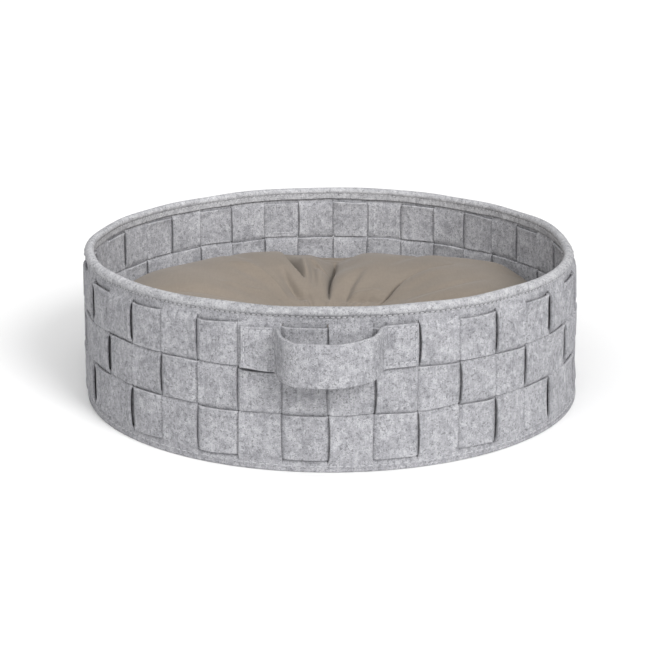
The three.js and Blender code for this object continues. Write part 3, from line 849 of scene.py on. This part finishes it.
def fold_depth(fold, x, y):
    """How far a fold draws the top down at places in plan."""
    index = np.arange(len(fold.path))
    places = np.linspace(0, index[-1], FOLD_STEPS)
    angles, radii, depths = (smooth_path(index, values, places)[1] for values in zip(*fold.path))
    line_x = radii * np.sin(angles)
    line_y = -radii * np.cos(angles)
    nearest = np.full(x.shape, np.inf)
    signed, depth, share = np.zeros((3, *x.shape))
    last = len(angles) - 1
    for piece in range(last):
        step_x = line_x[piece + 1] - line_x[piece]
        step_y = line_y[piece + 1] - line_y[piece]
        off_x = x - line_x[piece]
        off_y = y - line_y[piece]
        along = np.clip((off_x * step_x + off_y * step_y) / (step_x ** 2 + step_y ** 2), 0, 1)
        apart = np.hypot(off_x - along * step_x, off_y - along * step_y)
        is_nearer = apart < nearest
        nearest = np.where(is_nearer, apart, nearest)
        signed = np.where(is_nearer, np.sign(step_x * off_y - step_y * off_x) * apart, signed)
        depth = np.where(is_nearer, depths[piece] + along * (depths[piece + 1] - depths[piece]), depth)
        share = np.where(is_nearer, (piece + along) / last, share)
    width = np.where(signed > 0, fold.left, fold.right) * (1 + (fold.narrowing - 1) * share)
    return depth * np.exp(-np.abs(signed / width) ** fold.power)


def cushion_drop(angle, radius):
    """How far folds, small gathers round the middle and unevenness draw the top down."""
    x = radius * np.sin(angle)
    y = -radius * np.cos(angle)
    drop = sum(fold_depth(fold, x, y) for fold in FOLDS)
    turned = angle + GATHER_TURN * (radius - 40)
    gathers = GATHERS * around(turned, 101, 14) * rise(radius, 6, 24) * rise(-radius, -85, -30)
    uneven = UNEVENNESS * around(angle + UNEVEN_TURN * radius, 102, 5) * rise(radius, 30, 120)
    return drop + gathers + uneven


def cushion(material):
    """The round cushion, with its creases on the top."""
    radii, heights, is_top = cushion_section()
    even = np.linspace(0, 2 * math.pi, CUSHION_STEPS, endpoint=False)[:, None]
    angle = even + CROWDING * np.sin(even)
    angle, radius = np.broadcast_arrays(angle, radii[None, :])
    creased = rise(heights, CREASED_FROM, CREASED_ABOVE) * is_top
    creased = np.where((radii < MIDDLE_RADIUS) & is_top, 1, creased)[None, :]
    fullness = SIDE_FULLNESS * np.sin(angle) ** 2 * np.minimum(1, radius / FULL_FROM)
    height = heights[None, :] * (1 + fullness) - cushion_drop(angle, radius) * creased
    made = ring_object("cushion_cover", at(angle, radius, CUSHION_LOW + height), material, closed=False)
    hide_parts("cushion")
    return made


class Nodes:
    """Short calls for the nodes of a material or a world."""

    def __init__(self, owner, shader="Principled BSDF", coordinates="Object"):
        owner.use_nodes = True
        self.tree = owner.node_tree
        self.shader = self.tree.nodes[shader]
        self.place = self.tree.nodes.new("ShaderNodeTexCoord").outputs[coordinates]

    def feed(self, node, inputs):
        """Links a node's inputs to other nodes' outputs, or sets them to values."""
        for socket, value in inputs.items():
            if isinstance(value, bpy.types.NodeSocket):
                self.tree.links.new(value, node.inputs[socket])
            else:
                node.inputs[socket].default_value = value
        return node

    def add(self, kind, inputs):
        return self.feed(self.tree.nodes.new(kind), inputs)

    def noise(self, scale, detail, roughness, place=None):
        inputs = {"Scale": scale, "Detail": detail, "Roughness": roughness, "Vector": place or self.place}
        return self.add("ShaderNodeTexNoise", inputs).outputs["Fac"]

    def mapping(self, **values):
        """The place, moved by Location or stretched by Scale."""
        return self.add("ShaderNodeMapping", {"Vector": self.place, **values}).outputs["Vector"]

    def attribute(self, name):
        node = self.tree.nodes.new("ShaderNodeAttribute")
        node.attribute_name = name
        return node.outputs["Fac"]

    def ramp(self, value, low, high, start=0.0, end=1.0):
        inputs = {"Value": value, "From Min": low, "From Max": high, "To Min": start, "To Max": end}
        return self.add("ShaderNodeMapRange", inputs).outputs["Result"]

    def math(self, operation, first, second):
        node = self.add("ShaderNodeMath", {0: first, 1: second})
        node.operation = operation
        return node.outputs["Value"]

    def mix(self, share, first, second):
        """A colour between two others, each of which has three numbers or comes from a node."""
        node = self.tree.nodes.new("ShaderNodeMix")
        node.data_type = "RGBA"
        first, second = ((*value, 1) if isinstance(value, tuple) else value for value in (first, second))
        return self.feed(node, {0: share, 6: first, 7: second}).outputs[2]

    def curls(self, scale, patches, place):
        """Short curled fibres: thin lines of even height in one noise, in the patches of another."""
        away = self.math("ABSOLUTE", self.math("SUBTRACT", self.noise(scale, 3, 0.6, place), 0.5), 0)
        lines = self.ramp(away, 0.0, 0.022, 1.0, 0.0)
        return self.math("MULTIPLY", lines, self.ramp(self.noise(patches, 3, 0.6, place), 0.5, 0.56))

    def bump(self, height, distance, strength, **normal):
        inputs = {"Height": height, "Distance": distance, "Strength": strength, **normal}
        return self.add("ShaderNodeBump", inputs).outputs["Normal"]


def linear(colour):
    """A screen colour from 0 to 255, as the shader takes it."""
    return tuple(((value / 255 + 0.055) / 1.055) ** 2.4 for value in colour)


def new_material(name):
    material = bpy.data.materials.new(name)
    return material, Nodes(material)


def felt_material(name, pale, dark, shift, painted_edge_light):
    """Mottled wool felt: cloudy, with darker and paler fibres, a fuzzy surface, painted light on cut edges
    and painted shade in needle holes.
    """
    material, nodes = new_material(name)
    pale, dark = map(linear, (pale, dark))
    place = nodes.mapping(Location=(shift, shift * 0.37, shift * 0.61))
    clouds = nodes.noise(45, 3, 0.5, place)
    mottle = nodes.noise(190, 5, 0.65, place)
    fibres = nodes.noise(950, 3, 0.65, place)
    upright = nodes.noise(760, 2, 0.5, nodes.mapping(Scale=(1, 1, 0.12)))
    tone = nodes.math("MULTIPLY", nodes.ramp(mottle, 0.34, 0.66), 0.55)
    for noise, low, high in ((clouds, -0.12, 0.2), (fibres, -0.14, 0.21), (upright, -0.11, 0.14)):
        tone = nodes.math("ADD", tone, nodes.ramp(noise, 0.3, 0.7, low, high))
    colour = nodes.mix(tone, dark, pale)
    darker = tuple(value * 0.5 for value in dark)
    paler = tuple(min(1.0, value * 1.4) for value in pale)
    for scale, low, weight in ((430, 0.59, 0.6), (900, 0.6, 0.7)):
        specks = nodes.ramp(nodes.noise(scale, 2, 0.5, place), low, low + 0.07)
        colour = nodes.mix(nodes.math("MULTIPLY", specks, weight), colour, darker)
    for scale, patches, shade, weight in ((240, 70, darker, 0.6), (330, 95, paler, 0.5)):
        curls = nodes.curls(scale, patches, place)
        colour = nodes.mix(nodes.math("MULTIPLY", curls, weight), colour, shade)
    bright = nodes.math("MULTIPLY", nodes.ramp(fibres, 0.62, 0.7), 0.3)
    colour = nodes.mix(bright, colour, paler)
    # painted highlight on cut edges where the felt's value is above 0, and painted shade where it is below 0
    edge_light_share = nodes.math("MULTIPLY", nodes.attribute("edge"), abs(painted_edge_light))
    colour = nodes.mix(edge_light_share, colour, paler if painted_edge_light > 0 else darker)
    # painted shade in the needle holes
    colour = nodes.mix(nodes.attribute("hole"), colour, tuple(value * 0.3 for value in dark))
    fuzz = nodes.bump(fibres, 0.0004, 0.6, Normal=nodes.bump(mottle, 0.0012, 0.5))
    looks = {"Base Color": colour, "Normal": fuzz, "Roughness": 0.95, "Specular IOR Level": 0.1}
    nodes.feed(nodes.shader, looks)
    return material


def thread_material():
    """Pale grey sewing thread with a slight twist."""
    material, nodes = new_material("grey_thread")
    twist = nodes.noise(2600, 2, 0.5)
    colour = nodes.mix(nodes.ramp(twist, 0.35, 0.65), *map(linear, THREAD_COLOURS))
    looks = {"Base Color": colour, "Normal": nodes.bump(twist, 0.0002, 0.5), "Roughness": 0.6}
    nodes.feed(nodes.shader, looks)
    return material


def cushion_material():
    """Fine plain-woven taupe cotton, a little uneven in tone."""
    material, nodes = new_material("taupe_cotton")
    clouds = nodes.noise(14, 3, 0.5)
    ways = [nodes.noise(520, 3, 0.6, nodes.mapping(Scale=scale)) for scale in ((1, 0.12, 1), (0.12, 1, 1))]
    threads = nodes.math("ADD", *(nodes.math("MULTIPLY", way, 0.5) for way in ways))
    cloudy = nodes.ramp(clouds, 0.3, 0.7, 0.1, 0.6)
    tone = nodes.math("ADD", cloudy, nodes.ramp(threads, 0.35, 0.65, -0.1, 0.35))
    colour = nodes.mix(tone, *map(linear, CUSHION_COLOURS))
    looks = {"Base Color": colour, "Normal": nodes.bump(threads, 0.0004, 0.5), "Roughness": 0.9}
    nodes.feed(nodes.shader, {**looks, "Specular IOR Level": 0.25, "Sheen Weight": 0.1})
    return material


def floor():
    """A plain pale floor."""
    mesh = bpy.data.meshes.new("floor")
    corners = [(x * FLOOR_REACH, y * FLOOR_REACH, 0) for x, y in ((-1, -1), (1, -1), (1, 1), (-1, 1))]
    mesh.from_pydata(corners, [], [(0, 1, 2, 3)])
    material, nodes = new_material("pale_floor")
    nodes.feed(nodes.shader, {"Base Color": (*FLOOR_COLOUR, 1), "Roughness": 0.9})
    mesh.materials.append(material)
    made = add_object("floor", mesh)
    made.location.z = -FLOOR_DROP


def sky():
    """A plain studio dome, brighter overhead."""
    world = bpy.data.worlds.new("soft_white")
    nodes = Nodes(world, "Background", "Generated")
    height = nodes.add("ShaderNodeSeparateXYZ", {"Vector": nodes.place}).outputs["Z"]
    strength = nodes.ramp(height, 0, 1, SKY_LOW, SKY_HIGH)
    nodes.feed(nodes.shader, {"Color": (1, 1, 1, 1), "Strength": strength})
    bpy.context.scene.world = world


def sun(name, elevation, direction, spread, power):
    """A far light. The wider its spread, the softer its shadows."""
    light = bpy.data.lights.new(name, "SUN")
    light.energy = power
    light.angle = math.radians(spread)
    made = add_object(name, light)
    made.rotation_euler = (math.radians(90 - elevation), 0, math.radians(direction))


def fill_light():
    """A low panel that lights the inside of the basket, out of the camera's sight."""
    light = bpy.data.lights.new("fill", "AREA")
    light.shape = "RECTANGLE"
    light.size, light.size_y = FILL_SIZE
    light.energy = FILL_POWER
    made = add_object("fill", light)
    made.location = FILL_PLACE
    direction = Vector(FILL_AIM) - Vector(FILL_PLACE)
    made.rotation_euler = direction.to_track_quat("-Z", "Y").to_euler()
    made.visible_camera = False


def camera():
    """The photograph's view."""
    lens = bpy.data.cameras.new("camera")
    lens.sensor_width = SENSOR
    lens.lens = FOCAL_PIXELS / FRAME_PIXELS * SENSOR
    lens.clip_start = 0.01
    lens.clip_end = 50
    eye = add_object("camera", lens)
    back = CAMERA_DISTANCE * math.cos(CAMERA_ELEVATION)
    up = CAMERA_AIM + CAMERA_DISTANCE * math.sin(CAMERA_ELEVATION)
    eye.location = (0, -back * MM, up * MM)
    eye.rotation_euler = (math.pi / 2 - CAMERA_ELEVATION, 0, 0)
    bpy.context.scene.camera = eye


def declare(piece):
    """Says which body a piece belongs to."""
    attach(piece, "root")


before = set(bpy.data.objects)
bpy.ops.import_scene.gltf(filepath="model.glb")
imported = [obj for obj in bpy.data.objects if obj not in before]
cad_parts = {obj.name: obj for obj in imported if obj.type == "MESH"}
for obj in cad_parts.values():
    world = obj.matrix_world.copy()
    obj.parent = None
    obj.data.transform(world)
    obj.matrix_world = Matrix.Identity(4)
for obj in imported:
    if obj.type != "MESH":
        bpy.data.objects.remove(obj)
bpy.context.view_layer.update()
camera()
sky()
for sun_name, sun_values in SUNS.items():
    sun(sun_name, *sun_values)
fill_light()
bpy.context.scene.view_settings.view_transform = "Standard"
floor()

wall_felt, band_felt, binding_felt = (felt_material(name, *values) for name, values in FELTS.items())
grey_thread = thread_material()
taupe_cotton = cushion_material()

base = base_disc(wall_felt)
declare(base)
wall = wall_sheet(wall_felt)
declare(wall)
for band_row in range(3):
    band = woven_band(band_row, band_felt)
    declare(band)
binding = rim_binding(binding_felt)
declare(binding)
for seam_name, seam_side in (("outer_seam", 1), ("inner_seam", -1)):
    seam = ring_stitches(seam_name, seam_on_binding(seam_side), seam_side, SEAM_STITCHES, grey_thread)
    declare(seam)
declare(ring_stitches("foot_seam", seam_on_foot, 1, FOOT_STITCHES, grey_thread))
for handle, handle_turn in HANDLES.items():
    loop = strap(handle, handle_turn, band_felt)
    declare(loop)
    declare(strap_stitches(handle, handle_turn, grey_thread))
pad = cushion(taupe_cotton)
declare(pad)
